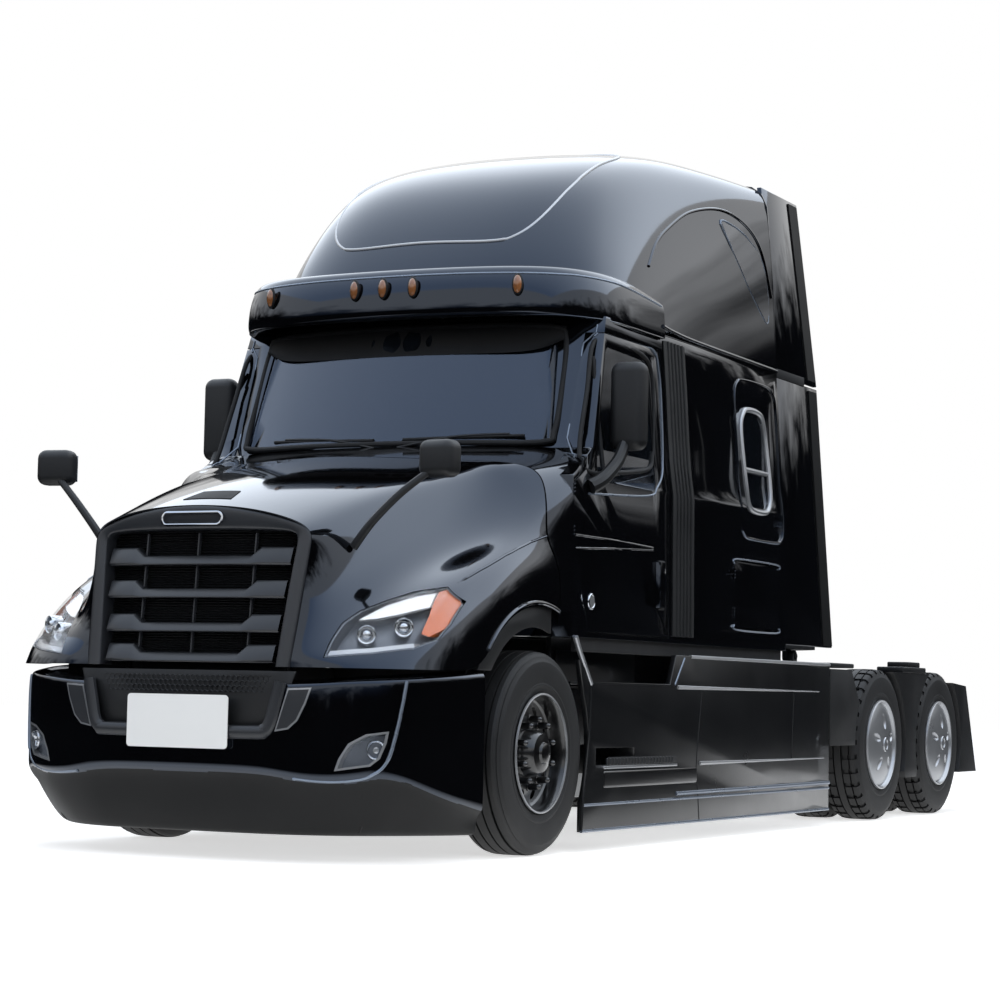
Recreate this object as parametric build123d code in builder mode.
from build123d import *
import os

os.makedirs("parts", exist_ok=True)

# Driving dimensions in millimetres: the truck faces -Y, +X is its left side, the ground is z 0
# Axles, tyres and wheels
front_axle_y = -3070
wheelbase = 5965
tandem_spread = 1320
tyre_radius = 510
tyre_width = 280
rim_radius = 287
rim_wall = 14
steer_track = 2120
dual_spacing = 320
dual_outer_x = 1080

# Frame and running gear
frame_width = 860
frame_top = 1000
frame_front = 1150
frame_rear = 1290
rail_height = 270
rail_flange = 90
rail_wall = 14
cross_member = 60

# Cab and sleeper body, measured aft of the front axle
cab_front = 260
cab_length = 3360
cab_rear = 3470
cab_half = 1200
cab_bottom = 1100
cab_height = 1730
cab_wall = 45
panel_gap = 6
glass = 8
door_wall = 55

# Hood
hood_front = 1450
hood_length = 1900
hood_base = 905
hood_height = 1155
hood_wall = 24
arch_radius = 745
arch_ahead = 60
liner_radius = 625
liner_wall = 16
seat_gap = 0.3

front_x = steer_track / 2
bogie_y = front_axle_y + wheelbase
drive_ys = [bogie_y - tandem_spread / 2, bogie_y + tandem_spread / 2]
sides = [("left", 1), ("right", -1)]


def aft(distance):
    """The y of a place that far behind the front axle."""
    return front_axle_y + distance


def block(x0, x1, y0, y1, z0, z1, mode=Mode.ADD):
    """A box between two corners."""
    with Locations(((x0 + x1) / 2, (y0 + y1) / 2, (z0 + z1) / 2)):
        Box(abs(x1 - x0), abs(y1 - y0), abs(z1 - z0), mode=mode)


def round_bar(centre, radius, length, turn=(0, 90, 0), mode=Mode.ADD):
    """A cylinder about its centre, along X unless it is turned."""
    with Locations(Location(centre, turn)):
        Cylinder(radius, length, mode=mode)


def within(shares, start, length, floor, height):
    """Outline points given as shares of a box in the YZ plane."""
    return [(start + length * along, floor + height * up) for along, up in shares]


def side_prism(points, x0, x1, radius=0, mode=Mode.ADD):
    """A YZ outline carried across from one x to another."""
    with BuildSketch(Plane.YZ.offset(min(x0, x1))) as outline:
        with BuildLine():
            Polyline(*points, close=True)
        make_face()
        if radius:
            fillet(outline.vertices(), radius)
    extrude(outline.sketch, amount=abs(x1 - x0), mode=mode)


def front_prism(points, y0, y1, radius=0, mode=Mode.ADD):
    """An XZ outline carried along from one y to another."""
    with BuildSketch(Plane.XZ.offset(-max(y0, y1))) as outline:
        with BuildLine():
            Polyline(*points, close=True)
        make_face()
        if radius:
            fillet(outline.vertices(), radius)
    extrude(outline.sketch, amount=abs(y1 - y0), mode=mode)


def save(piece, name):
    """Labels a finished piece and writes its file."""
    piece.part.label = name
    export_step(piece.part, "parts/" + name + ".step")


# Frame: two C rails held by cross members, the first a deep one behind the bumper
rail_x = frame_width / 2
frame_bottom = frame_top - rail_height
rail_start = front_axle_y - frame_front
rail_end = bogie_y + frame_rear
cross_shares = [0.0, 0.34, 0.56, 0.74, 1.0]
with BuildPart() as frame_rails:
    for name, side in sides:
        web_in = side * (rail_x - rail_wall)
        flange_in = side * (rail_x - rail_flange)
        block(web_in, side * rail_x, rail_start, rail_end, frame_bottom, frame_top)
        block(flange_in, side * rail_x, rail_start, rail_end, frame_top - rail_wall, frame_top)
        block(flange_in, side * rail_x, rail_start, rail_end, frame_bottom, frame_bottom + rail_wall)
    for share in cross_shares:
        start = rail_start + (rail_end - rail_start - cross_member) * share
        block(rail_wall - rail_x, rail_x - rail_wall, start, start + cross_member,
              frame_bottom + rail_wall, frame_top - rail_wall)
save(frame_rails, "frame_rails")

# Front axle: a dropped beam between two kingpin eyes, under two leaf springs
kingpin_x = 930
kingpin_radius = 22
eye_radius = 46
eye_height = 140
beam_depth = 90
beam_height = 110
beam_drop = 120
spring_x = 400
spring_width = 80
spring_thickness = 50
spring_half = 720
spring_rise = 40
beam_top = tyre_radius - beam_drop + beam_height / 2
knuckle_gap = 4
hanger = 60
with BuildPart() as front_axle:
    eye_shares = [0.0, 0.62, 0.84, 1.0]
    low = tyre_radius - beam_drop
    top_line = [(kingpin_x * share, height) for share, height in zip(
        eye_shares, [beam_top, beam_top, tyre_radius + eye_height / 2, tyre_radius + eye_height / 2])]
    low_line = [(kingpin_x * share, height) for share, height in zip(
        eye_shares, [beam_top - beam_height, beam_top - beam_height,
                     tyre_radius - eye_height / 2, tyre_radius - eye_height / 2])]
    for name, side in sides:
        points = [(side * x, z) for x, z in top_line + low_line[::-1]]
        front_prism(points, front_axle_y - beam_depth / 2, front_axle_y + beam_depth / 2)
        round_bar((side * kingpin_x, front_axle_y, tyre_radius), eye_radius, eye_height, (0, 0, 0))
        round_bar((side * kingpin_x, front_axle_y, tyre_radius), kingpin_radius + seat_gap,
                  eye_height, (0, 0, 0), Mode.SUBTRACT)
    # Leaf springs: a bowed pack on the beam, hung from a bracket at each end
    for name, side in sides:
        x0 = side * spring_x - spring_width / 2
        pack_low = beam_top
        with BuildSketch(Plane.YZ.offset(x0)):
            with BuildLine():
                ThreePointArc((aft(-spring_half), pack_low + spring_rise), (aft(0), pack_low),
                              (aft(spring_half), pack_low + spring_rise))
                Line((aft(spring_half), pack_low + spring_rise),
                     (aft(spring_half), pack_low + spring_rise + spring_thickness))
                ThreePointArc((aft(spring_half), pack_low + spring_rise + spring_thickness),
                              (aft(0), pack_low + spring_thickness),
                              (aft(-spring_half), pack_low + spring_rise + spring_thickness))
                Line((aft(-spring_half), pack_low + spring_rise + spring_thickness),
                     (aft(-spring_half), pack_low + spring_rise))
            make_face()
        extrude(amount=spring_width)
        for end in (-1, 1):
            middle = aft(end * (spring_half - hanger / 2))
            block(x0, x0 + spring_width, middle - hanger / 2, middle + hanger / 2,
                  pack_low + spring_rise, frame_bottom)
save(front_axle, "front_axle")

# Steering knuckles: two ears on the kingpin, a web and the stub that carries the hub
ear_radius = 50
ear_height = 45
ear_reach = 62
web_depth = 100
web_wall = 22
spindle_radius = 42
spindle_reach = 1150
arm_reach = 190
arm_inset = 70
arm_radius = 20
ear_low = tyre_radius - eye_height / 2 - knuckle_gap - ear_height
ear_high = tyre_radius + eye_height / 2 + knuckle_gap
arm_z = ear_low + ear_height / 2
ball_y = front_axle_y + arm_reach
ball_x = kingpin_x - arm_inset
ball_radius = 26
for name, side in sides:
    with BuildPart() as knuckle:
        pin = side * kingpin_x
        for low in (ear_low, ear_high):
            round_bar((pin, front_axle_y, low + ear_height / 2), ear_radius, ear_height, (0, 0, 0))
            block(pin, pin + side * (ear_reach + web_wall), front_axle_y - web_depth / 2,
                  front_axle_y + web_depth / 2, low, low + ear_height)
        block(pin + side * ear_reach, pin + side * (ear_reach + web_wall), front_axle_y - web_depth / 2,
              front_axle_y + web_depth / 2, ear_low, ear_high + ear_height)
        round_bar((pin, front_axle_y, tyre_radius), kingpin_radius, ear_high - ear_low, (0, 0, 0))
        web_x = kingpin_x + ear_reach
        round_bar((side * (web_x + spindle_reach) / 2, front_axle_y, tyre_radius),
                  spindle_radius, spindle_reach - web_x)
        with BuildSketch(Plane.XY.offset(ear_low)):
            with BuildLine():
                Polyline((pin - side * ear_radius / 2, front_axle_y), (pin + side * ear_radius / 2, front_axle_y),
                         (side * ball_x + side * arm_radius, ball_y), (side * ball_x - side * arm_radius, ball_y),
                         close=True)
            make_face()
        extrude(amount=ear_height)
        round_bar((side * ball_x, ball_y, arm_z), ball_radius, ear_height, (0, 0, 0))
    save(knuckle, "knuckle_" + name)

# Tie rod: a bar between the two steering arms, with an eye under each ball
rod_radius = 18
rod_eye = 44
rod_z = ear_low - rod_eye / 2 - seat_gap
with BuildPart() as tie_rod:
    round_bar((0, ball_y, rod_z), rod_radius, 2 * ball_x)
    for name, side in sides:
        round_bar((side * ball_x, ball_y, rod_z), ball_radius, rod_eye, (0, 0, 0))
save(tie_rod, "tie_rod")

# Tyres: a ring with round shoulders, its bore on the rim
bead_share = 0.74
shoulder_share = 0.94
wall_share = 0.62
tread_share = 0.86
hub_radius = 95
disc_wall = 16
flange_lip = 18


def tyre_ring(x, y):
    """A tyre's solid, turned about its own axle."""
    half = tyre_width / 2
    wall_height = tyre_radius - rim_radius
    profile = [(x - half * bead_share, rim_radius),
               (x - half, rim_radius + wall_height * wall_share),
               (x - half * tread_share, rim_radius + wall_height * shoulder_share + flange_lip / 2),
               (x - half * tread_share * tread_share, tyre_radius)]
    mirrored = [(2 * x - u, v) for u, v in profile[::-1]]
    with BuildSketch(Plane(origin=(0, y, tyre_radius), x_dir=(1, 0, 0), z_dir=(0, -1, 0))) as section_face:
        with BuildLine():
            Polyline(*(profile + mirrored), close=True)
        make_face()
    revolve(section_face.sketch, axis=Axis((0, y, tyre_radius), (1, 0, 0)))


def rim_ring(x, y, side, disc_share, disc_hub):
    """A wheel: the barrel under one tyre and the dished disc that carries it."""
    half = tyre_width / 2 * bead_share
    root = x + side * (half - disc_wall) * disc_share
    out = side * half
    wall = side * disc_wall / 2
    profile = [(x - out, rim_radius), (x + out, rim_radius), (x + out, rim_radius - rim_wall),
               (root + wall, rim_radius - rim_wall), (disc_hub + wall, hub_radius),
               (disc_hub - wall, hub_radius), (root - wall, rim_radius - rim_wall),
               (x - out, rim_radius - rim_wall)]
    with BuildSketch(Plane(origin=(0, y, tyre_radius), x_dir=(1, 0, 0), z_dir=(0, -1, 0))) as section_face:
        with BuildLine():
            Polyline(*profile, close=True)
        make_face()
    revolve(section_face.sketch, axis=Axis((0, y, tyre_radius), (1, 0, 0)))


def hand_holes(x, y, depth, count, circle, radius):
    """Round holes through a wheel's disc."""
    with Locations(Location((x, y, tyre_radius), (0, 90, 0))):
        with PolarLocations(circle, count):
            Cylinder(radius, depth, mode=Mode.SUBTRACT)


# Front wheels: black discs dished outward, ten hand holes, a hub with ten long lug caps
hand_hole = 26
hand_circle = 218
lug_count = 10
lug_circle = 142
lug_radius = 15
lug_reach = 1178
front_hub_reach = 1190
hub_inner = kingpin_x + ear_reach + web_wall + knuckle_gap
steer_disc_share = 0.25
steer_hub_x = 1120
bearing_gap = 0.5
for name, side in sides:
    with BuildPart() as front_tyre:
        tyre_ring(side * front_x, front_axle_y)
    save(front_tyre, "front_tyre_" + name)
    with BuildPart() as front_wheel:
        rim_ring(side * front_x, front_axle_y, side, steer_disc_share, side * steer_hub_x)
        hand_holes(side * front_x, front_axle_y, tyre_width / 2, lug_count, hand_circle, hand_hole)
        round_bar((side * steer_hub_x, front_axle_y, tyre_radius), lug_circle + lug_radius * 2, disc_wall)
        round_bar((side * (hub_inner + front_hub_reach) / 2, front_axle_y, tyre_radius),
                  hub_radius, front_hub_reach - hub_inner)
        with Locations(Location((side * (steer_hub_x + lug_reach) / 2, front_axle_y, tyre_radius), (0, 90, 0))):
            with PolarLocations(lug_circle, lug_count):
                Cylinder(lug_radius, lug_reach - steer_hub_x)
        round_bar((side * (hub_inner + spindle_reach) / 2, front_axle_y, tyre_radius),
                  spindle_radius + bearing_gap, spindle_reach - hub_inner + 2 * bearing_gap, (0, 90, 0),
                  Mode.SUBTRACT)
    save(front_wheel, "front_wheel_" + name)

# Dual wheels: two rims back to back on one hub, the outer one under a round cover
dual_inner_x = dual_outer_x - dual_spacing
mount_x = dual_inner_x + dual_spacing / 2
cover_wall = 6
cover_dish = 22
cover_hole = 34
cover_circle = 185
cover_count = 5
axle_reach = 1080
axle_radius = 44
shaft_ahead = 1250
hub_outer = dual_outer_x + tyre_width / 2 * bead_share
cover_radius = rim_radius - rim_wall
with BuildPart() as drive_axles:
    tube_radius = 72
    tube_reach = dual_inner_x - tyre_width / 2
    bowl_radius = 215
    bowl_width = 260
    for y in drive_ys:
        round_bar((0, y, tyre_radius), tube_radius, 2 * tube_reach)
        round_bar((0, y, tyre_radius), axle_radius, 2 * axle_reach)
        round_bar((0, y, tyre_radius), bowl_radius, bowl_width)
    # Propeller shaft from the gearbox to the first axle and on to the second
    shaft_radius = 50
    shaft_start = aft(shaft_ahead)
    shaft_length = drive_ys[1] - shaft_start
    round_bar((0, shaft_start + shaft_length / 2, tyre_radius + tube_radius), shaft_radius,
              shaft_length, (90, 0, 0))
save(drive_axles, "drive_axles")

for row, y in enumerate(drive_ys):
    for name, side in sides:
        label = ["front", "rear"][row] + "_" + name
        with BuildPart() as dual_tyres:
            tyre_ring(side * dual_outer_x, y)
            tyre_ring(side * dual_inner_x, y)
        save(dual_tyres, "drive_tyres_" + label)
        with BuildPart() as dual_wheels:
            rim_ring(side * dual_outer_x, y, side, -1, side * (mount_x + disc_wall / 2))
            rim_ring(side * dual_inner_x, y, side, 1, side * (mount_x - disc_wall / 2))
            hub_length = axle_reach - tube_reach + bearing_gap
            round_bar((side * (tube_reach + bearing_gap + hub_length / 2 + disc_wall / 2), y, tyre_radius),
                      hub_radius, hub_length + disc_wall)
            with BuildSketch(Plane(origin=(0, y, tyre_radius), x_dir=(1, 0, 0), z_dir=(0, -1, 0))):
                with BuildLine():
                    Polyline((side * hub_outer, cover_radius), (side * (hub_outer + cover_dish), hub_radius),
                             (side * (hub_outer + cover_dish), 0), (side * (hub_outer + cover_dish - cover_wall), 0),
                             (side * (hub_outer + cover_dish - cover_wall), hub_radius),
                             (side * (hub_outer - cover_wall), cover_radius), close=True)
                make_face()
            revolve(axis=Axis((0, y, tyre_radius), (1, 0, 0)))
            hand_holes(side * hub_outer, y, 4 * cover_dish, cover_count, cover_circle, cover_hole)
            round_bar((side * (tube_reach + axle_reach) / 2, y, tyre_radius), axle_radius + bearing_gap,
                      axle_reach - tube_reach + 2 * bearing_gap, (0, 90, 0), Mode.SUBTRACT)
        save(dual_wheels, "drive_wheels_" + label)

# Rear suspension: a trailing beam under each rail, an air bag on its tail, a hanger at its nose
beam_length = 900
trail_height = 70
trail_width = 90
bag_radius = 120
hanger_length = 130
with BuildPart() as rear_suspension:
    for y in drive_ys:
        for name, side in sides:
            x = side * (rail_x - rail_flange / 2)
            nose = y - beam_length * 0.5
            top = tyre_radius - tube_radius
            block(x - trail_width / 2, x + trail_width / 2, nose, nose + beam_length, top - trail_height, top)
            block(x - trail_width / 2, x + trail_width / 2, nose, nose + hanger_length, top, frame_bottom)
            bag = nose + beam_length - bag_radius
            round_bar((x, bag, (top + frame_bottom) / 2), bag_radius, frame_bottom - top, (0, 0, 0))
save(rear_suspension, "rear_suspension")

# Engine and gearbox: plain blocks between the rails, the radiator ahead of them
engine_half = 330
engine_ahead = 720
engine_behind = 200
engine_low = 620
engine_high = 1640
gearbox_half = 230
gearbox_behind = shaft_ahead
gearbox_high = 1040
radiator_half = 470
radiator_ahead = 1060
radiator_depth = 120
radiator_low = 700
radiator_high = 1520
with BuildPart() as engine_block:
    block(-engine_half, engine_half, aft(-engine_ahead), aft(engine_behind), engine_low, engine_high)
    block(-gearbox_half, gearbox_half, aft(engine_behind), aft(gearbox_behind), engine_low - beam_depth,
          gearbox_high)
save(engine_block, "engine_block")

with BuildPart() as radiator:
    block(-radiator_half, radiator_half, aft(-radiator_ahead), aft(radiator_depth - radiator_ahead),
          frame_top, radiator_high)
    block(rail_flange - rail_x, rail_x - rail_flange, aft(-radiator_ahead), aft(radiator_depth - radiator_ahead),
          radiator_low, frame_top)
save(radiator, "radiator")

# Fuel tanks: a round tank on each side on brackets that reach out to the fairings
tank_radius = 300
tank_x = 790
tank_z = 545
tank_start = 1180
tank_length = 1750
bracket_width = 70
bracket_height = 60
fairing_x = 1215
fairing_wall = 30
fairing_step = 872
tread_wall = 14
bracket_low = fairing_step - 2 * tread_wall - bracket_height
bracket_shares = [0.1, 0.5, 0.92]
with BuildPart() as fuel_tanks:
    for name, side in sides:
        round_bar((side * tank_x, aft(tank_start + tank_length / 2), tank_z), tank_radius, tank_length, (90, 0, 0))
        for share in bracket_shares:
            y = aft(tank_start + tank_length * share)
            block(side * rail_x, side * (fairing_x - fairing_wall), y, y + bracket_width,
                  bracket_low, bracket_low + bracket_height)
            block(side * rail_x, side * (tank_x - tank_radius / 2), y, y + bracket_width, tank_z, bracket_low)
save(fuel_tanks, "fuel_tanks")


# Cab form: plan outlines stacked up the body, wide to the belt and drawn in above it
# rows: height, nose, pillar x, pillar y, side x, side start, as shares of the body's size
cab_shares = [
    (0.000, 0.000, 0.900, 0.006, 1.000, 0.021),
    (0.480, 0.000, 0.900, 0.006, 0.992, 0.021),
    (0.578, 0.051, 0.790, 0.095, 0.971, 0.107),
    (1.000, 0.122, 0.729, 0.161, 0.929, 0.182),
]


def plan_outline(height, nose, pillar_x, pillar_y, side_x, side_y, rear):
    """A body's plan at one height: a bowed front, two pillars and straight sides."""
    with BuildSketch(Plane.XY.offset(height)) as plan:
        with BuildLine():
            ThreePointArc((-pillar_x, pillar_y), (0, nose), (pillar_x, pillar_y))
            Polyline((pillar_x, pillar_y), (side_x, side_y), (side_x, rear), (-side_x, rear),
                     (-side_x, side_y), (-pillar_x, pillar_y))
        make_face()
    return plan.sketch


def cab_form(inset, base=0, head=0):
    """The cab and sleeper body, drawn in by an inset on every side."""
    plans = []
    for height, nose, pillar_x, pillar_y, side_x, side_y in cab_shares:
        lift = base if height == 0 else (-head if height == 1 else 0)
        plans.append(plan_outline(
            cab_bottom + cab_height * height + lift, aft(cab_front + cab_length * nose) + inset,
            cab_half * pillar_x - inset, aft(cab_front + cab_length * pillar_y) + inset,
            cab_half * side_x - inset, aft(cab_front + cab_length * side_y) + inset,
            aft(cab_rear) - inset))
    loft(plans, ruled=True)


# Doors: one outline cuts the opening and, drawn in by the gap, gives the door
door_start = 338
door_length = 1262
door_sill = 1125
door_height = 1615
door_shares = [(0.0, 0.48), (0.0, 0.294), (0.017, 0.251), (0.093, 0.102), (0.148, 0.0), (1.0, 0.0),
               (1.0, 1.0), (0.366, 1.0), (0.128, 0.529)]
door_window_shares = [(0.225, 0.495), (0.855, 0.495), (0.865, 0.58), (0.835, 0.945), (0.405, 0.955)]
door_points = within(door_shares, aft(door_start), door_length, door_sill, door_height)
door_window = within(door_window_shares, aft(door_start), door_length, door_sill, door_height)
window_corner = 60
screen_half_low = 943
screen_half_high = 880
screen_low = 2125
screen_high = 2795
screen_corner = 35
screen_points = [(-screen_half_low, screen_low), (screen_half_low, screen_low),
                 (screen_half_high, screen_high), (-screen_half_high, screen_high)]
side_out = cab_half + cab_wall
side_in = cab_half - 4 * cab_wall

# Sleeper window and the locker door under it
slot_start = 2800
slot_length = 410
slot_low = 1950
slot_height = 570
slot_corner = 130
locker_start = 2590
locker_length = 770
locker_low = 1215
locker_height = 401
locker_corner = 45
full_shares = [(0, 0), (1, 0), (1, 1), (0, 1)]
slot_points = within(full_shares, aft(slot_start), slot_length, slot_low, slot_height)
locker_points = within(full_shares, aft(locker_start), locker_length, locker_low, locker_height)

with BuildPart() as cab_outer:
    cab_form(0)

# Hinges: short barrels in the gap at the front edge of each door, the body's knuckles outside the door's
door_hinge_x = 1195
locker_hinge_x = 1200
hinge_radius = 6
hinge_pin = 3
hinge_length = 60
hinge_gap = 1
# rows: how far out and how far aft the barrels stand, and how high each one starts
hinge_rows = [(door_hinge_x, door_start + panel_gap / 2, 1610), (door_hinge_x, door_start + panel_gap / 2, 1830),
              (locker_hinge_x, locker_start + panel_gap / 2, 1275),
              (locker_hinge_x, locker_start + panel_gap / 2, 1495)]


def hinge_leaf(side, rows, carried=True):
    """One side's barrels: the body's knuckles and pins, or those of a door they carry."""
    third = hinge_length / 3
    for across, along, low in rows:
        middle = (side * across, aft(along), low + hinge_length / 2)
        for shift in (-third, third):
            centre = (middle[0], middle[1], middle[2] + shift)
            if carried:
                round_bar(centre, hinge_radius + hinge_gap, third + 2 * hinge_gap, (0, 0, 0), Mode.SUBTRACT)
            else:
                round_bar(centre, hinge_radius, third, (0, 0, 0))
        if carried:
            round_bar(middle, hinge_radius, third - 2 * hinge_gap, (0, 0, 0))
            round_bar(middle, hinge_pin + seat_gap, third, (0, 0, 0), Mode.SUBTRACT)
        else:
            round_bar(middle, hinge_radius + hinge_gap, third, (0, 0, 0), Mode.SUBTRACT)
            round_bar(middle, hinge_pin, hinge_length, (0, 0, 0))


mount_shares = [0.12, 0.87]
mount_width = 80
mount_length = 120
with BuildPart() as cab_inner:
    cab_form(cab_wall, cab_wall, 0)

with BuildPart() as cab_shell:
    add(cab_outer)
    add(cab_inner, mode=Mode.SUBTRACT)
    front_prism(screen_points, aft(cab_front) - cab_wall, aft(cab_front + cab_length / 2), screen_corner,
                Mode.SUBTRACT)
    for name, side in sides:
        side_prism(door_points, side * side_in, side * side_out, 0, Mode.SUBTRACT)
        side_prism(slot_points, side * side_in, side * side_out, slot_corner, Mode.SUBTRACT)
        side_prism(locker_points, side * side_in, side * side_out, locker_corner, Mode.SUBTRACT)
        hinge_leaf(side, hinge_rows, False)
    # Four mounts under the floor carry the body on the rails
    for share in mount_shares:
        mount_y = aft(cab_front + cab_length * share)
        for name, side in sides:
            block(side * (rail_x - mount_width), side * rail_x, mount_y, mount_y + mount_length, frame_top,
                  cab_bottom + cab_wall / 2)
save(cab_shell, "cab_shell")

# Windshield and sleeper windows: glass on the body's own surface, set into the openings
with BuildPart() as glass_skin:
    cab_form(panel_gap)
    with BuildPart(mode=Mode.PRIVATE) as glass_inner:
        cab_form(panel_gap + glass)
    add(glass_inner, mode=Mode.SUBTRACT)

with BuildPart() as windshield:
    front_prism(screen_points, aft(cab_front) - cab_wall, aft(cab_front + cab_length / 4), screen_corner)
    add(glass_skin, mode=Mode.INTERSECT)
save(windshield, "windshield")

with BuildPart() as sleeper_windows:
    for name, side in sides:
        side_prism(slot_points, side * side_in, side * side_out, slot_corner)
    add(glass_skin, mode=Mode.INTERSECT)
save(sleeper_windows, "sleeper_windows")

# Doors and locker doors
with BuildPart() as door_skin:
    add(cab_outer)
    with BuildPart(mode=Mode.PRIVATE) as door_inner:
        cab_form(door_wall)
    add(door_inner, mode=Mode.SUBTRACT)

handle_length = 250
handle_width = 60
handle_depth = 24
handle_start = 1420
handle_low = 1290
mirror_x = 1275
mirror_aft = 830
mirror_z = 2340
mirror_width = 210
mirror_depth = 130
mirror_height = 470
mirror_arm = 44
foot_aft = 500
foot_z = 1900
for name, side in sides:
    with BuildPart() as door:
        with BuildSketch(Plane.YZ.offset(side_in if side > 0 else -side_out)):
            with BuildLine():
                Polyline(*door_points, close=True)
            make_face()
            offset(amount=-panel_gap, kind=Kind.INTERSECTION)
        extrude(amount=side_out - side_in)
        add(door_skin, mode=Mode.INTERSECT)
        side_prism(door_window, side * side_in, side * side_out, window_corner, Mode.SUBTRACT)
        block(side * (cab_half - door_wall / 2), side * (cab_half + handle_depth), aft(handle_start),
              aft(handle_start + handle_width), handle_low, handle_low + handle_length)
        hinge_leaf(side, hinge_rows[:2])
    save(door, "door_" + name)
    with BuildPart() as door_glass:
        side_prism(door_window, side * side_in, side * side_out, window_corner)
        add(glass_skin, mode=Mode.INTERSECT)
    save(door_glass, "door_glass_" + name)
    # Main mirror: a tall head on a swept arm from the foot of the window
    with BuildPart() as mirror:
        block(side * mirror_x - mirror_width / 2, side * mirror_x + mirror_width / 2,
              aft(mirror_aft) - mirror_depth / 2, aft(mirror_aft) + mirror_depth / 2,
              mirror_z - mirror_height / 2, mirror_z + mirror_height / 2)
        fillet(mirror.edges().filter_by(Axis.Z), mirror_arm)
        foot_x = side * (cab_half - panel_gap)
        with BuildLine() as arm_line:
            Polyline((foot_x, aft(foot_aft), foot_z),
                     (side * mirror_x, aft(mirror_aft), mirror_z - mirror_height / 2 + mirror_arm))
        arm_plane = Plane(origin=arm_line.line @ 0, z_dir=arm_line.line % 0)
        with BuildSketch(arm_plane):
            Circle(mirror_arm)
        sweep(path=arm_line.line)
        block(side * (cab_half - 4 * panel_gap), side * (cab_half + mirror_arm / 2), aft(foot_aft) - mirror_arm,
              aft(foot_aft) + 2 * mirror_arm, foot_z - mirror_arm, foot_z + mirror_arm)
        add(cab_outer, mode=Mode.SUBTRACT)
    save(mirror, "mirror_" + name)
    with BuildPart() as locker_door:
        with BuildSketch(Plane.YZ.offset(side_in if side > 0 else -side_out)) as locker_outline:
            with BuildLine():
                Polyline(*locker_points, close=True)
            make_face()
            fillet(locker_outline.vertices(), locker_corner)
            offset(amount=-panel_gap)
        extrude(amount=side_out - side_in)
        add(door_skin, mode=Mode.INTERSECT)
        hinge_leaf(side, hinge_rows[2:])
    save(locker_door, "locker_door_" + name)

# Roof cap: a domed fairing over the whole body, hollow and open below
roof_wall = 40
roof_rise = 1275
roof_base = cab_bottom + cab_height
# rows: rise, nose, pillar x, pillar y, side x, side start, as shares of the cap's size
roof_shares = [
    (0.0, 0.122, 0.729, 0.161, 0.929, 0.182),
    (1.0, 0.235, 0.620, 0.330, 0.822, 0.460),
]
roof_profile_shares = [(0.122, 0.0), (0.161, 0.16), (0.182, 0.36), (0.37, 0.81), (0.70, 1.0), (0.956, 0.955)]


def roof_form(inset):
    """The domed cap: tapering plan outlines, trimmed by the roof's side profile."""
    plans = []
    for rise, nose, pillar_x, pillar_y, side_x, side_y in roof_shares:
        plans.append(plan_outline(
            roof_base + roof_rise * rise, aft(cab_front + cab_length * nose) + inset,
            cab_half * pillar_x - inset, aft(cab_front + cab_length * pillar_y) + inset,
            cab_half * side_x - inset, aft(cab_front + cab_length * side_y) + inset,
            aft(cab_rear) - inset))
    loft(plans, ruled=True)
    spots = [(aft(cab_front + cab_length * along) + inset, roof_base + roof_rise * up - inset * (up > 0))
             for along, up in roof_profile_shares]
    with BuildSketch(Plane.YZ.offset(-cab_half)) as profile:
        with BuildLine():
            Polyline(*spots[:3])
            ThreePointArc(*spots[2:5])
            Polyline(spots[4], (spots[5][0], spots[5][1]), (spots[5][0], spots[0][1]), spots[0])
        make_face()
    extrude(profile.sketch, amount=2 * cab_half, mode=Mode.INTERSECT)


with BuildPart() as roof_outer:
    roof_form(0)
with BuildPart() as roof_fairing:
    add(roof_outer)
    with BuildPart(mode=Mode.PRIVATE) as roof_inner:
        roof_form(roof_wall)
    add(roof_inner, mode=Mode.SUBTRACT)
save(roof_fairing, "roof_fairing")

# Visor: a deep band round the brow that carries five marker lamps
visor_low = 2805
visor_height = 290
# rows: rise, nose, pillar x, pillar y, side x, side start, as shares of the cab's size
visor_shares = [
    (0.00, 0.062, 0.640, 0.085, 0.945, 0.165),
    (0.55, 0.045, 0.640, 0.078, 0.940, 0.160),
    (1.00, 0.080, 0.640, 0.115, 0.915, 0.200),
]
visor_length_share = 0.41
with BuildPart() as visor:
    bands = []
    for rise, nose, pillar_x, pillar_y, side_x, side_y in visor_shares:
        bands.append(plan_outline(
            visor_low + visor_height * rise, aft(cab_front + cab_length * nose),
            cab_half * pillar_x, aft(cab_front + cab_length * pillar_y),
            cab_half * side_x, aft(cab_front + cab_length * side_y),
            aft(cab_front + cab_length * visor_length_share)))
    loft(bands, ruled=True)
    add(cab_outer, mode=Mode.SUBTRACT)
    add(roof_outer, mode=Mode.SUBTRACT)
save(visor, "visor")

lamp_radius = 26
lamp_height = 74
lamp_z = 2968
marker_shares = [(0.0, 0.045), (0.150, 0.0475), (-0.150, 0.0475), (0.636, 0.0775), (-0.636, 0.0775)]
with BuildPart() as marker_lamps:
    for across, along in marker_shares:
        y = aft(cab_front + cab_length * along)
        with Locations((cab_half * across, y, lamp_z)):
            Box(2 * lamp_radius, 2 * lamp_radius, lamp_height)
    add(visor, mode=Mode.SUBTRACT)
save(marker_lamps, "marker_lamps")

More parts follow.
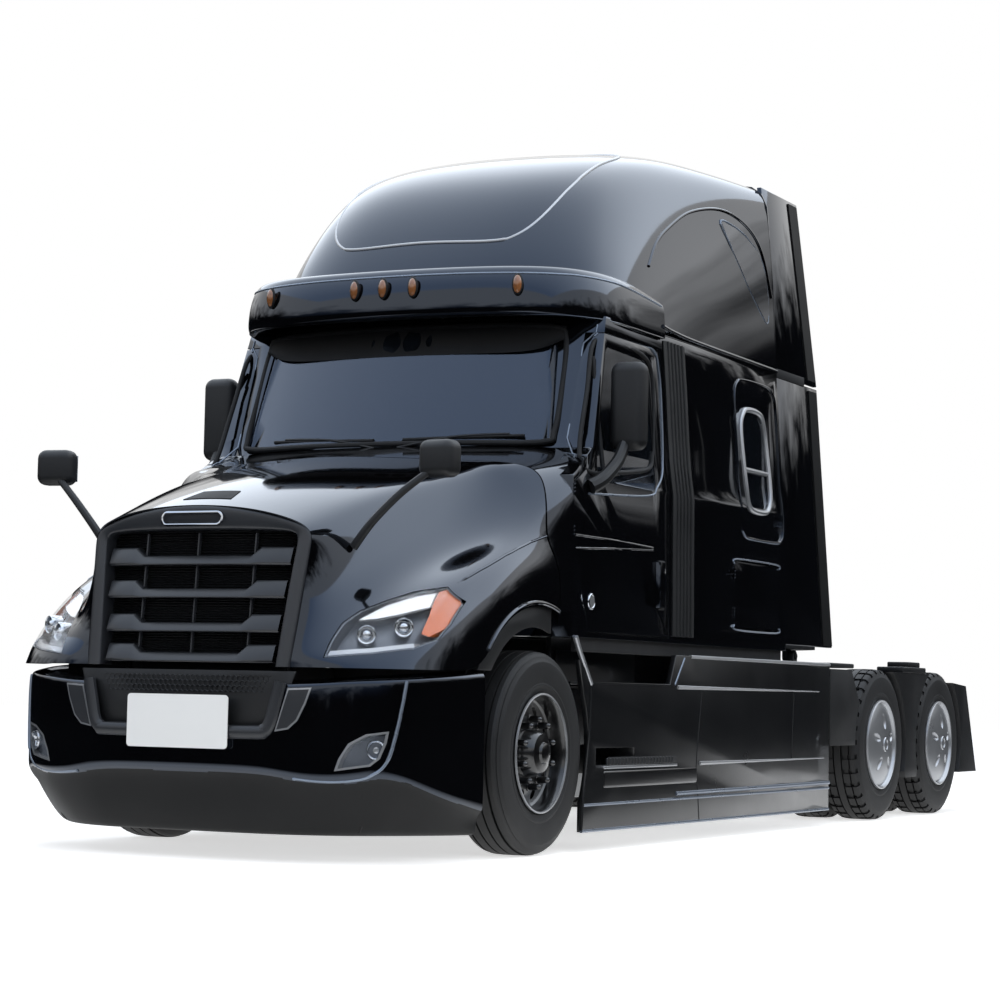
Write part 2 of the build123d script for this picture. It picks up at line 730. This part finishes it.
# Side extenders: two panels a side that close the gap to a trailer
extender_wall = 30
extender_low = 1140
extender_gap = 16
extender_shares = [(0.0, 0.0), (1.0, 0.0), (0.87, 1.0), (0.0, 1.0)]
lower_length = 860
upper_length = 745
upper_top = 4020
roof_side_share = 0.929
roof_top_share = 0.83
with BuildPart() as side_extenders:
    for name, side in sides:
        lower = within(extender_shares, aft(cab_rear), lower_length, extender_low,
                       roof_base - extender_gap - extender_low)
        upper = within(extender_shares, aft(cab_rear), upper_length, roof_base,
                       upper_top - roof_base)
        for points, low_x, high_x in ((lower, cab_half, cab_half * roof_side_share),
                                      (upper, cab_half * roof_side_share, cab_half * roof_top_share)):
            for end in (0, 1):
                height = points[0][1] if end == 0 else points[2][1]
                near = points[0][0]
                far = points[1][0] if end == 0 else points[2][0]
                edge_x = low_x if end == 0 else high_x
                with BuildSketch(Plane.XY.offset(height)):
                    with BuildLine():
                        Polyline((side * edge_x, near), (side * edge_x, far),
                                 (side * (edge_x - extender_wall), far),
                                 (side * (edge_x - extender_wall), near), close=True)
                    make_face()
            loft(ruled=True)
save(side_extenders, "side_extenders")


# Hood forms: a crowned bonnet that widens to the cab, a fender each side, and the raked nose
# rows: station, crown z, crease x, crease z, shoulder x, shoulder z, waist x, waist z
bonnet_shares = [
    (0.000, 0.506, 0.433, 0.455, 0.483, 0.394, 0.533, 0.212),
    (0.174, 0.654, 0.500, 0.597, 0.558, 0.532, 0.625, 0.342),
    (0.494, 0.857, 0.625, 0.811, 0.725, 0.749, 0.825, 0.472),
    (1.000, 1.000, 0.775, 0.960, 0.940, 0.905, 0.972, 0.615),
]
fender_inner_share = 0.45
fender_inner_shares = [(0.0, 0.0), (0.0, 0.135), (0.316, 0.255), (0.658, 0.472), (1.0, 0.580), (1.0, 0.0)]
fender_outer_shares = [(0.0, 0.0), (0.0, 0.205), (0.323, 0.342), (0.663, 0.489), (1.0, 0.585), (1.0, 0.0)]
# rows: height, nose y, grille x, grille y, lamp x, lamp y, corner x, corner y, flank y
nose_shares = [
    (0.0, 0.011, 0.50, 0.029, 0.667, 0.047, 0.942, 0.105, 0.342),
    (1.0, 0.115, 0.50, 0.138, 0.667, 0.516, 0.958, 0.626, 0.718),
]


def bonnet_form(inset):
    """The crowned centre of the hood, lofted through four cross sections."""
    cuts = []
    for station, crown, crease_x, crease_z, shoulder_x, shoulder_z, waist_x, waist_z in bonnet_shares:
        with BuildSketch(Plane.XZ.offset(-aft(hood_length * station - hood_front))) as cut:
            with BuildLine():
                crease = (cab_half * crease_x - inset, hood_base + hood_height * crease_z - inset)
                shoulder = (cab_half * shoulder_x - inset, hood_base + hood_height * shoulder_z - inset)
                waist = (cab_half * waist_x - inset, hood_base + hood_height * waist_z - inset)
                low = (cab_half * waist_x - inset, hood_base)
                ThreePointArc((-crease[0], crease[1]), (0, hood_base + hood_height * crown - inset), crease)
                Polyline(crease, shoulder, waist, low, (-low[0], low[1]), (-waist[0], waist[1]),
                         (-shoulder[0], shoulder[1]), (-crease[0], crease[1]))
            make_face()
        cuts.append(cut.sketch)
    loft(cuts, ruled=True)


def fender_forms(inset):
    """Both fenders, from the bonnet's flank out to the truck's side."""
    inner_x = cab_half * fender_inner_share
    for name, side in sides:
        cuts = []
        for shares, x in ((fender_inner_shares, inner_x), (fender_outer_shares, cab_half - inset)):
            points = within(shares, aft(-hood_front), hood_length, hood_base, hood_height)
            with BuildSketch(Plane.YZ.offset(side * x)) as cut:
                with BuildLine():
                    Polyline(*[(y, z - inset if z > hood_base else z) for y, z in points], close=True)
                make_face()
            cuts.append(cut.sketch)
        loft(cuts, ruled=True)


def nose_form(inset):
    """The raked, bowed front that trims the bonnet and the fenders."""
    plans = []
    for rise, nose_y, grille_x, grille_y, lamp_x, lamp_y, corner_x, corner_y, flank_y in nose_shares:
        spots = [(cab_half * x - inset * (x > 0.7), aft(hood_length * y - hood_front) + inset)
                 for x, y in ((grille_x, grille_y), (lamp_x, lamp_y), (corner_x, corner_y), (1.0, flank_y))]
        rear = (cab_half - inset, aft(hood_length - hood_front))
        with BuildSketch(Plane.XY.offset(hood_base + hood_height * rise)) as plan:
            with BuildLine():
                first = spots[0]
                ThreePointArc((-first[0], first[1]), (0, aft(hood_length * nose_y - hood_front) + inset), first)
                Polyline(*spots, rear, (-rear[0], rear[1]), *[(-x, y) for x, y in spots[::-1]])
            make_face()
        plans.append(plan.sketch)
    loft(plans, ruled=True)


hood_rear_side = 150
hood_rear_middle = -110
hood_seam_gap = 10
pivot_ahead = 1375
pivot_z = 780


def rear_arc(shift, mode):
    """The part behind the hood's bowed rear edge."""
    with BuildSketch(Plane.XY.offset(hood_base - arch_radius)) as plan:
        with BuildLine():
            ThreePointArc((-cab_half - cab_wall, aft(hood_rear_side) + shift), (0, aft(hood_rear_middle) + shift),
                          (cab_half + cab_wall, aft(hood_rear_side) + shift))
            Polyline((cab_half + cab_wall, aft(hood_rear_side) + shift), (cab_half + cab_wall, aft(hood_length)),
                     (-cab_half - cab_wall, aft(hood_length)), (-cab_half - cab_wall, aft(hood_rear_side) + shift))
        make_face()
    extrude(plan.sketch, amount=2 * hood_height + arch_radius, mode=mode)


with BuildPart() as hood_outer:
    bonnet_form(0)
    fender_forms(0)
    with BuildPart(mode=Mode.PRIVATE) as nose_outer:
        nose_form(0)
    add(nose_outer, mode=Mode.INTERSECT)

with BuildPart() as hood_inner:
    bonnet_form(hood_wall)
    fender_forms(hood_wall)
    with BuildPart(mode=Mode.PRIVATE) as nose_inner:
        nose_form(hood_wall)
    add(nose_inner, mode=Mode.INTERSECT)

# Grille opening and headlamp pockets, as outlines seen from the front
grille_low = 925
grille_top = 1545
grille_half_low = 545
grille_half_top = 592
grille_crown = 100
lamp_points = [(755, 950), (800, 1160), (1192, 1300), (1192, 1200), (1120, 975)]
lamp_gap = 4
arch_y = aft(-arch_ahead)
arch_inner_share = 0.52
arch_in = cab_half * arch_inner_share
arch_out = cab_half + cab_wall
liner_x = 1180


def grille_prism(grow, mode):
    """The grille's outline from the front, arched at the top, carried back through the nose."""
    low = (grille_half_low + grow, grille_low - grow)
    top = (grille_half_top + grow, grille_top + grow)
    with BuildSketch(Plane.XZ.offset(-aft(-pivot_ahead / 2))) as outline:
        with BuildLine():
            ThreePointArc((-top[0], top[1]), (0, grille_top + grille_crown + grow), top)
            Polyline(top, low, (-low[0], low[1]), (-top[0], top[1]))
        make_face()
    extrude(outline.sketch, amount=pivot_ahead, mode=mode)


with BuildPart() as hood_shell:
    add(hood_outer)
    add(hood_inner, mode=Mode.SUBTRACT)
    rear_arc(0, Mode.SUBTRACT)
    grille_prism(0, Mode.SUBTRACT)
    for name, side in sides:
        round_bar((side * (arch_in + arch_out) / 2, arch_y, tyre_radius), arch_radius, arch_out - arch_in,
                  (0, 90, 0), Mode.SUBTRACT)
        front_prism([(side * x, z) for x, z in lamp_points], aft(-hood_front), aft(-hood_front / 2), 0,
                    Mode.SUBTRACT)
save(hood_shell, "hood_shell")

# Cowl: the hood's surface carried back to the cab, with the quarter panels behind the wheel arches
with BuildPart() as cowl:
    add(hood_outer)
    add(hood_inner, mode=Mode.SUBTRACT)
    with BuildPart(mode=Mode.PRIVATE) as behind_seam:
        rear_arc(hood_seam_gap, Mode.ADD)
    add(behind_seam, mode=Mode.INTERSECT)
    add(cab_outer, mode=Mode.SUBTRACT)
    for name, side in sides:
        round_bar((side * (arch_in + arch_out) / 2, arch_y, tyre_radius), arch_radius, arch_out - arch_in,
                  (0, 90, 0), Mode.SUBTRACT)
        # The door swings out past the cowl's rear edge, so that edge stands a gap ahead of it
        side_prism([(y - panel_gap, z) for y, z in door_points], side * side_in, side * side_out, 0,
                   Mode.SUBTRACT)
save(cowl, "cowl")

# Wheel arch liners on the hood: a tunnel over each front tyre and a flat rim round its mouth
liner_rim = 16
liner_low = 912
with BuildPart() as arch_liners:
    for name, side in sides:
        mouth = side * (liner_x - liner_rim / 2)
        middle = side * (arch_in + liner_x) / 2
        round_bar((middle, arch_y, tyre_radius), arch_radius - seat_gap, liner_x - arch_in)
        round_bar((middle - side * liner_rim, arch_y, tyre_radius), arch_radius - liner_wall,
                  liner_x - arch_in, (0, 90, 0), Mode.SUBTRACT)
        round_bar((mouth, arch_y, tyre_radius), liner_radius, 2 * liner_rim, (0, 90, 0), Mode.SUBTRACT)
    block(-arch_out, arch_out, arch_y - arch_radius, arch_y + arch_radius, tyre_radius - arch_radius, liner_low,
          Mode.SUBTRACT)
    with BuildPart(mode=Mode.PRIVATE) as behind_liner:
        rear_arc(0, Mode.ADD)
    add(behind_liner, mode=Mode.SUBTRACT)
save(arch_liners, "arch_liners")

# Headlamps: a clear lens on the hood's surface and a deep bowl behind it
lamp_depth = 130
for kind in ("lens", "bowl"):
    with BuildPart() as headlamp:
        for name, side in sides:
            with BuildSketch(Plane.XZ.offset(-aft(-hood_front / 2))) as lamp_outline:
                with BuildLine():
                    Polyline(*[(side * x, z) for x, z in lamp_points], close=True)
                make_face()
                offset(amount=-lamp_gap, kind=Kind.INTERSECTION)
            extrude(lamp_outline.sketch, amount=hood_front / 2)
        if kind == "lens":
            add(hood_outer, mode=Mode.INTERSECT)
            add(hood_inner, mode=Mode.SUBTRACT)
        else:
            add(hood_inner, mode=Mode.INTERSECT)
            with BuildPart(mode=Mode.PRIVATE) as lamp_back:
                with Locations((0, lamp_depth, 0)):
                    add(hood_inner)
            add(lamp_back, mode=Mode.SUBTRACT)
    save(headlamp, "headlamp_lenses" if kind == "lens" else "headlamp_bowls")

# Grille: a raked frame, four bowed slats, a centre bar and a finned sheet behind them
grille_frame = 62
grille_proud = 12
grille_depth = 70
slat_height = 46
slat_shares = [0.0, 0.225, 0.475, 0.725]
bar_width = 22
sheet_wall = 8
slat_depth = 55
pivot_y = aft(-pivot_ahead)
hood_pin = 10
eye_outer = 16
arm_gap = 6
arm_wall = 22
arm_rise = 28
arm_back = 165


def nose_layer(outside, inside):
    """A layer of the nose between two insets."""
    nose_form(outside)
    with BuildPart(mode=Mode.PRIVATE) as deeper:
        nose_form(inside)
    add(deeper, mode=Mode.SUBTRACT)


with BuildPart() as grille:
    nose_layer(-grille_proud, grille_depth)
    with BuildPart(mode=Mode.PRIVATE) as grille_mask:
        grille_prism(-seat_gap, Mode.ADD)
    add(grille_mask, mode=Mode.INTERSECT)
    grille_prism(-grille_frame, Mode.SUBTRACT)
    with BuildPart(mode=Mode.PRIVATE) as slats:
        nose_layer(-grille_proud / 2, slat_depth)
        with BuildPart(mode=Mode.PRIVATE) as bars:
            half = grille_half_top - grille_frame / 2
            rise = grille_top - grille_low
            for share in slat_shares:
                low = grille_low + grille_frame / 2 + (rise - grille_frame) * share
                block(-half, half, aft(-hood_front), aft(-hood_front / 2), low, low + slat_height)
            block(-bar_width / 2, bar_width / 2, aft(-hood_front), aft(-hood_front / 2), grille_low, grille_top)
        add(bars, mode=Mode.INTERSECT)
        add(grille_mask, mode=Mode.INTERSECT)
    add(slats)
    with BuildPart(mode=Mode.PRIVATE) as sheet:
        nose_layer(slat_depth, slat_depth + sheet_wall)
        add(grille_mask, mode=Mode.INTERSECT)
    add(sheet)
    # Hood arms: goosenecks from the frame's hinge pins back, up and forward to the grille's lower band
    for name, side in sides:
        arm_x = side * (rail_x + arm_gap)
        arm_out = arm_x + side * arm_wall
        low = pivot_z - arm_rise / 2
        high = grille_low + grille_frame / 2
        block(arm_x, arm_out, pivot_y, pivot_y + arm_back, low, low + arm_rise)
        block(arm_x, arm_out, pivot_y + arm_back - arm_rise, pivot_y + arm_back, low, high + arm_rise / 2)
        block(arm_x, arm_out, pivot_y - arm_rise / 4, pivot_y + arm_back, high - arm_rise / 2, high + arm_rise / 2)
        round_bar((arm_x + side * arm_wall / 2, pivot_y, pivot_z), eye_outer, arm_wall)
        round_bar((arm_x + side * arm_wall / 2, pivot_y, pivot_z), hood_pin + seat_gap, arm_wall, (0, 90, 0),
                  Mode.SUBTRACT)
save(grille, "grille")

# Hood mirrors: a small head on a thin arm on each fender line
hood_mirror_x = 1098
hood_mirror_ahead = 963
hood_mirror_z = 1897
hood_mirror_width = 200
hood_mirror_depth = 110
hood_mirror_height = 185
hood_mirror_corner = 45
hood_foot_x = 700
hood_foot_ahead = 1075
hood_foot_z = 1490
hood_arm = 15
with BuildPart() as hood_mirrors:
    for name, side in sides:
        block(side * hood_mirror_x - hood_mirror_width / 2, side * hood_mirror_x + hood_mirror_width / 2,
              aft(-hood_mirror_ahead) - hood_mirror_depth / 2, aft(-hood_mirror_ahead) + hood_mirror_depth / 2,
              hood_mirror_z - hood_mirror_height / 2, hood_mirror_z + hood_mirror_height / 2)
        foot = (side * hood_foot_x, aft(-hood_foot_ahead), hood_foot_z)
        top = (side * hood_mirror_x, aft(-hood_mirror_ahead), hood_mirror_z - hood_mirror_height / 2 + hood_arm)
        with BuildLine() as arm_line:
            Line(foot, top)
        with BuildSketch(Plane(origin=foot, z_dir=arm_line.line % 0)):
            Circle(hood_arm)
        sweep(path=arm_line.line)
    fillet(hood_mirrors.edges().filter_by(Axis.Z).filter_by(lambda edge: edge.length > hood_mirror_depth),
           hood_mirror_corner)
    add(hood_outer, mode=Mode.SUBTRACT)
save(hood_mirrors, "hood_mirrors")

# Bumper: a deep bowed shell round the nose, with a mouth in the middle and a pocket for each fog lamp
bumper_half = 1215
bumper_front = 1450
bumper_length = 790
bumper_low = 125
bumper_height = 760
bumper_wall = 30
# rows: rise, nose, corner a x, y, corner b x, y, corner c x, y, as shares of the bumper's size
bumper_shares = [
    (0.00, 0.075, 0.500, 0.140, 0.700, 0.270, 0.955, 0.600),
    (0.49, 0.000, 0.510, 0.020, 0.830, 0.250, 0.985, 0.580),
    (1.00, 0.010, 0.510, 0.030, 0.905, 0.240, 1.000, 0.550),
]
mouth_points = [(-475, 620), (475, 620), (570, 895), (-570, 895)]
fog_points = [(765, 431), (831, 552), (984, 624), (946, 472)]
mesh_setback = 8
mesh_grow_share = 1.06
horn_width = 70
horn_low = 745
horn_height = 110


def bumper_form(inset):
    """The bumper's plan outlines stacked from its lip to its top."""
    plans = []
    for rise, nose, ax, ay, bx, by, cx, cy in bumper_shares:
        spots = [(bumper_half * x - inset, aft(bumper_length * y - bumper_front) + inset)
                 for x, y in ((ax, ay), (bx, by), (cx, cy), (1.0, 1.0))]
        rear = aft(bumper_length - bumper_front)
        with BuildSketch(Plane.XY.offset(bumper_low + bumper_height * rise)) as plan:
            with BuildLine():
                first = spots[0]
                ThreePointArc((-first[0], first[1]), (0, aft(bumper_length * nose - bumper_front) + inset), first)
                Polyline(*spots[:3], (spots[3][0], rear), (-spots[3][0], rear),
                         *[(-x, y) for x, y in spots[2::-1]])
            make_face()
        plans.append(plan.sketch)
    loft(plans, ruled=True)


with BuildPart() as bumper_outer:
    bumper_form(0)
with BuildPart() as bumper_inner:
    bumper_form(bumper_wall)
fog_edge = aft(bumper_length / 2 - bumper_front)
with BuildPart() as bumper:
    add(bumper_outer)
    add(bumper_inner, mode=Mode.SUBTRACT)
    front_prism(mouth_points, aft(-bumper_front), fog_edge, 0, Mode.SUBTRACT)
    for name, side in sides:
        front_prism([(side * x, z) for x, z in fog_points], aft(-bumper_front), fog_edge, 0, Mode.SUBTRACT)
save(bumper, "bumper")

# Bumper mouth: a pierced sheet behind the opening and the two horns that bolt to the frame
with BuildPart() as bumper_mesh:
    front_prism([(x * mesh_grow_share, z) for x, z in mouth_points], aft(-bumper_front), fog_edge)
    add(bumper_inner, mode=Mode.INTERSECT)
    with BuildPart(mode=Mode.PRIVATE) as mesh_back:
        with Locations((0, mesh_setback, 0)):
            add(bumper_inner)
    add(mesh_back, mode=Mode.SUBTRACT)
    with BuildPart(mode=Mode.PRIVATE) as bumper_horns:
        for name, side in sides:
            block(side * rail_x, side * (rail_x - horn_width), aft(-bumper_front), rail_start, horn_low,
                  horn_low + horn_height)
            round_bar((side * (rail_x + arm_wall / 2), pivot_y, pivot_z), hood_pin, 2 * arm_gap + arm_wall)
        add(bumper_inner, mode=Mode.INTERSECT)
    add(bumper_horns)
save(bumper_mesh, "bumper_mesh")

with BuildPart() as fog_lamps:
    for name, side in sides:
        with BuildSketch(Plane.XZ.offset(-fog_edge)) as fog_outline:
            with BuildLine():
                Polyline(*[(side * x, z) for x, z in fog_points], close=True)
            make_face()
            offset(amount=-seat_gap, kind=Kind.INTERSECTION)
        extrude(fog_outline.sketch, amount=bumper_length / 2)
    add(bumper_outer, mode=Mode.INTERSECT)
    add(bumper_inner, mode=Mode.SUBTRACT)
save(fog_lamps, "fog_lamps")

# Chassis fairings: a skin from the front arch to the drive wheels, its front edge clear of the tyre
fairing_top = 1035
fairing_low = 100
fairing_rear = 4250
fairing_cut = 530
fairing_lip = 460
flare_start = 400
flare_top = 985
flare_end = 580
step_end = 1600
step_rise_end = 1680
edge_turn_high = 800
edge_turn_low = 250
recess_start = 620
recess_end = 1120
recess_low = 425
recess_high = 530
recess_x = 1000
riser_x = 985
seam_gap = 8
fairing_in = fairing_x - fairing_wall
with BuildPart() as chassis_fairings:
    for name, side in sides:
        with BuildSketch(Plane.YZ.offset(min(side * fairing_x, side * fairing_in))) as skin:
            with BuildLine():
                ThreePointArc((aft(fairing_lip), edge_turn_low), (aft(fairing_cut), tyre_radius),
                              (aft(fairing_lip), edge_turn_high))
                Polyline((aft(fairing_lip), edge_turn_high), (aft(flare_start), flare_top),
                         (aft(flare_end), fairing_step), (aft(step_end), fairing_step),
                         (aft(step_rise_end), fairing_top), (aft(fairing_rear), fairing_top),
                         (aft(fairing_rear), fairing_low), (aft(fairing_lip), fairing_low),
                         (aft(fairing_lip), edge_turn_low))
            make_face()
        extrude(skin.sketch, amount=fairing_wall)
        block(side * fairing_in, side * fairing_x, aft(recess_start), aft(recess_end), recess_low, recess_high,
              Mode.SUBTRACT)
        # Recess behind the lower step
        block(side * recess_x, side * (recess_x + tread_wall), aft(recess_start) - tread_wall,
              aft(recess_end) + tread_wall, recess_low - 2 * tread_wall, recess_high + tread_wall)
        for low in (recess_low - 2 * tread_wall, recess_high):
            block(side * recess_x, side * fairing_in, aft(recess_start) - tread_wall,
                  aft(recess_end) + tread_wall, low, low + tread_wall)
        for start in (aft(recess_start) - tread_wall, aft(recess_end)):
            block(side * recess_x, side * fairing_in, start, start + tread_wall, recess_low - tread_wall, recess_high)
        # Riser behind the upper step, with the shelf that carries its tread
        block(side * riser_x, side * fairing_in, aft(flare_end), aft(step_end),
              fairing_step - 2 * tread_wall, fairing_step - tread_wall)
        block(side * riser_x, side * (riser_x + tread_wall), aft(flare_end), aft(step_end),
              fairing_step - tread_wall, fairing_top)
save(chassis_fairings, "chassis_fairings")

with BuildPart() as steps:
    for name, side in sides:
        block(side * (riser_x + tread_wall), side * fairing_x, aft(flare_end), aft(step_end),
              fairing_step - tread_wall, fairing_step)
        block(side * (recess_x + tread_wall), side * fairing_x, aft(recess_start), aft(recess_end),
              recess_low - tread_wall, recess_low)
    add(chassis_fairings, mode=Mode.SUBTRACT)
save(steps, "steps")

# Cab inside: dashboard, seats and bunk, all cut to the body's inner walls
dash_depth = 440
dash_low = 1480
dash_rise = 440
dash_shares = [(0.0, 0.0), (0.7, 0.0), (1.0, 0.35), (0.95, 0.9), (0.75, 1.0), (0.0, 1.0)]
dash_points = within(dash_shares, aft(cab_front), dash_depth + cab_wall, dash_low, dash_rise)
with BuildPart() as dashboard:
    side_prism(dash_points, -side_in, side_in)
    add(cab_inner, mode=Mode.INTERSECT)
save(dashboard, "dashboard")

floor_z = cab_bottom + cab_wall
seat_x = 480
seat_width = 520
seat_start = 1130
seat_depth = 520
seat_high = 470
back_rise = 720
back_depth = 130
head_width = 270
head_height = 190
head_gap = 30
bunk_start = 2700
bunk_high = 500
with BuildPart() as seats_and_bunk:
    for name, side in sides:
        x0 = side * seat_x - seat_width / 2
        y0 = aft(seat_start)
        block(x0, x0 + seat_width, y0, y0 + seat_depth, floor_z + seat_high / 2, floor_z + seat_high)
        block(x0 + head_width / 3, x0 + seat_width - head_width / 3, y0 + back_depth, y0 + seat_depth - back_depth,
              floor_z, floor_z + seat_high / 2)
        block(x0, x0 + seat_width, y0 + seat_depth - back_depth / 2, y0 + seat_depth + back_depth / 2,
              floor_z + seat_high / 2, floor_z + seat_high + back_rise)
        block(side * seat_x - head_width / 2, side * seat_x + head_width / 2, y0 + seat_depth - back_depth / 2,
              y0 + seat_depth + back_depth / 2, floor_z + seat_high + back_rise - head_gap,
              floor_z + seat_high + back_rise + head_height)
    block(2 * door_wall - cab_half, cab_half - 2 * door_wall, aft(bunk_start), aft(cab_rear),
          floor_z, floor_z + bunk_high)
    add(cab_inner, mode=Mode.INTERSECT)
save(seats_and_bunk, "seats_and_bunk")

wheel_ring = 215
wheel_rod = 15
wheel_aft = 930
wheel_z = 1950
wheel_tilt = 58
wheel_hub = 55
column_radius = 34
with BuildPart() as steering_wheel:
    with Locations(Location((seat_x, aft(wheel_aft), wheel_z), (-wheel_tilt, 0, 0))):
        Torus(wheel_ring, wheel_rod)
        Cylinder(wheel_hub, 2 * wheel_rod)
        with PolarLocations(wheel_ring / 2, 3, -90):
            Box(wheel_ring, 2 * wheel_rod, wheel_rod)
    with Locations(Location((seat_x, aft(wheel_aft), wheel_z), (-wheel_tilt, 0, 0))):
        with Locations((0, 0, -wheel_ring)):
            Cylinder(column_radius, 2 * wheel_ring)
    add(dashboard, mode=Mode.SUBTRACT)
save(steering_wheel, "steering_wheel")

# Tandem fenders: a ledge ahead of the first tyre, a filler between the two and a tail behind the last
fender_gap = 38
fender_sheet = 14
fender_skin = 26
fender_in = dual_inner_x - tyre_width / 2
fender_out = dual_outer_x + tyre_width / 2
fender_top = 1005
ledge_length = 420
filler_half = 430
filler_waist = 250
filler_low = 276
tail_start = 40
tail_reach = 958
tail_end = 677
tail_top = 966
tail_low = 291
box_half = 170
box_rise = 34
tyre_clear = tyre_radius + fender_gap
shapes = [
    [(aft(fairing_rear) + seam_gap, fender_top), (aft(fairing_rear) + ledge_length, fender_top),
     (drive_ys[0] - tyre_radius / 2, tyre_radius), (aft(fairing_rear) + seam_gap, tyre_radius)],
    [(bogie_y - filler_half, fender_top), (bogie_y + filler_half, fender_top),
     (bogie_y + filler_waist, tyre_radius), (bogie_y + filler_waist / 2, filler_low),
     (bogie_y - filler_waist / 2, filler_low), (bogie_y - filler_waist, tyre_radius)],
    [(drive_ys[1] + tail_start, tail_top), (drive_ys[1] + tail_end, tail_top - fender_gap),
     (drive_ys[1] + tail_reach, tail_low), (drive_ys[1], tail_low)],
]
with BuildPart() as tandem_fenders:
    for name, side in sides:
        for points in shapes:
            side_prism(points, side * fender_in, side * fender_out)
    for y in drive_ys:
        round_bar((0, y, tyre_radius), tyre_clear, 2 * fender_out, (0, 90, 0), Mode.SUBTRACT)
    with BuildPart(mode=Mode.PRIVATE) as fender_hollow:
        for name, side in sides:
            for points in shapes:
                with BuildSketch(Plane.YZ.offset(min(side * (fender_in - fender_skin),
                                                     side * (fender_out - fender_skin)))) as hollow_outline:
                    with BuildLine():
                        Polyline(*points, close=True)
                    make_face()
                    offset(amount=-fender_sheet, kind=Kind.INTERSECTION)
                extrude(hollow_outline.sketch, amount=fender_out - fender_in)
        for y in drive_ys:
            round_bar((0, y, tyre_radius), tyre_clear + fender_sheet, 2 * fender_out, (0, 90, 0), Mode.SUBTRACT)
    add(fender_hollow, mode=Mode.SUBTRACT)
    for name, side in sides:
        block(side * (fender_out - 2 * fender_skin), side * fender_out, bogie_y - box_half / 2,
              bogie_y + box_half / 2, fender_top, fender_top + box_rise)
        for y in (aft(fairing_rear) + ledge_length / 2, bogie_y - bracket_width / 2, drive_ys[1] + tyre_radius):
            block(side * rail_x, side * (fender_out - fender_skin), y, y + bracket_width,
                  frame_bottom + rail_wall, frame_bottom + bracket_height)
save(tandem_fenders, "tandem_fenders")

# Deck plate behind the sleeper
deck_start = 3680
deck_length = 1050
deck_wall = 12
with BuildPart() as deck_plate:
    block(-rail_x, rail_x, aft(deck_start), aft(deck_start + deck_length), frame_top, frame_top + deck_wall)
save(deck_plate, "deck_plate")

# Fifth wheel: a base on the rails with two bored ears, and the plate that tilts on its pins
coupler_y = bogie_y - 120
coupler_pivot = 1110
coupler_top = 1205
coupler_wall = 45
coupler_half = 455
coupler_ahead = 400
coupler_behind = 500
base_half = 480
base_wall = 30
ear_x = 350
ear_wall = 40
ear_round = 42
lug_gap = 6
pin_radius = 22
throat_radius = 26
throat_mouth = 190
throat_depth = 190
with BuildPart() as coupler_base:
    block(-rail_x, rail_x, coupler_y - base_half / 2, coupler_y + base_half / 2, frame_top, frame_top + base_wall)
    for name, side in sides:
        block(side * (ear_x + lug_gap), side * (ear_x + lug_gap + ear_wall), coupler_y - ear_round,
              coupler_y + ear_round, frame_top + base_wall, coupler_pivot)
        round_bar((side * (ear_x + lug_gap + ear_wall / 2), coupler_y, coupler_pivot), ear_round, ear_wall)
        round_bar((side * (ear_x + lug_gap + ear_wall / 2), coupler_y, coupler_pivot),
                  pin_radius + seat_gap, 2 * ear_wall, (0, 90, 0), Mode.SUBTRACT)
save(coupler_base, "fifth_wheel_base")

with BuildPart() as coupler_plate:
    with BuildSketch(Plane.XY.offset(coupler_top - coupler_wall)) as plate_outline:
        with BuildLine():
            ThreePointArc((-coupler_half, coupler_y), (0, coupler_y - coupler_ahead), (coupler_half, coupler_y))
            Polyline((coupler_half, coupler_y), (coupler_half, coupler_y + coupler_behind / 2),
                     (throat_mouth + ear_wall, coupler_y + coupler_behind), (throat_mouth, coupler_y + coupler_behind),
                     (throat_radius, coupler_y + throat_depth / 2), (-throat_radius, coupler_y + throat_depth / 2),
                     (-throat_mouth, coupler_y + coupler_behind), (-throat_mouth - ear_wall, coupler_y + coupler_behind),
                     (-coupler_half, coupler_y + coupler_behind / 2), (-coupler_half, coupler_y))
        make_face()
    extrude(amount=coupler_wall)
    with Locations((0, coupler_y + throat_depth / 2, coupler_top)):
        Cylinder(throat_radius, 2 * coupler_wall, mode=Mode.SUBTRACT)
    for name, side in sides:
        block(side * (ear_x - ear_wall), side * ear_x, coupler_y - ear_round, coupler_y + ear_round,
              coupler_pivot, coupler_top - coupler_wall)
        round_bar((side * (ear_x - ear_wall / 2), coupler_y, coupler_pivot), ear_round, ear_wall)
        round_bar((side * (ear_x + lug_gap / 2 + ear_wall / 2), coupler_y, coupler_pivot), pin_radius,
                  ear_wall + lug_gap + ear_wall / 2)
save(coupler_plate, "fifth_wheel_plate")

# Tail lamps: two round lamps a side on the last cross member
tail_lamp_radius = 52
tail_lamp_depth = 36
tail_lamp_z = 865
tail_lamp_shares = [0.45, 0.75]
with BuildPart() as tail_lamps:
    for share in tail_lamp_shares:
        for name, side in sides:
            round_bar((side * rail_x * share, rail_end + tail_lamp_depth / 2, tail_lamp_z), tail_lamp_radius,
                      tail_lamp_depth, (90, 0, 0))
save(tail_lamps, "tail_lamps")
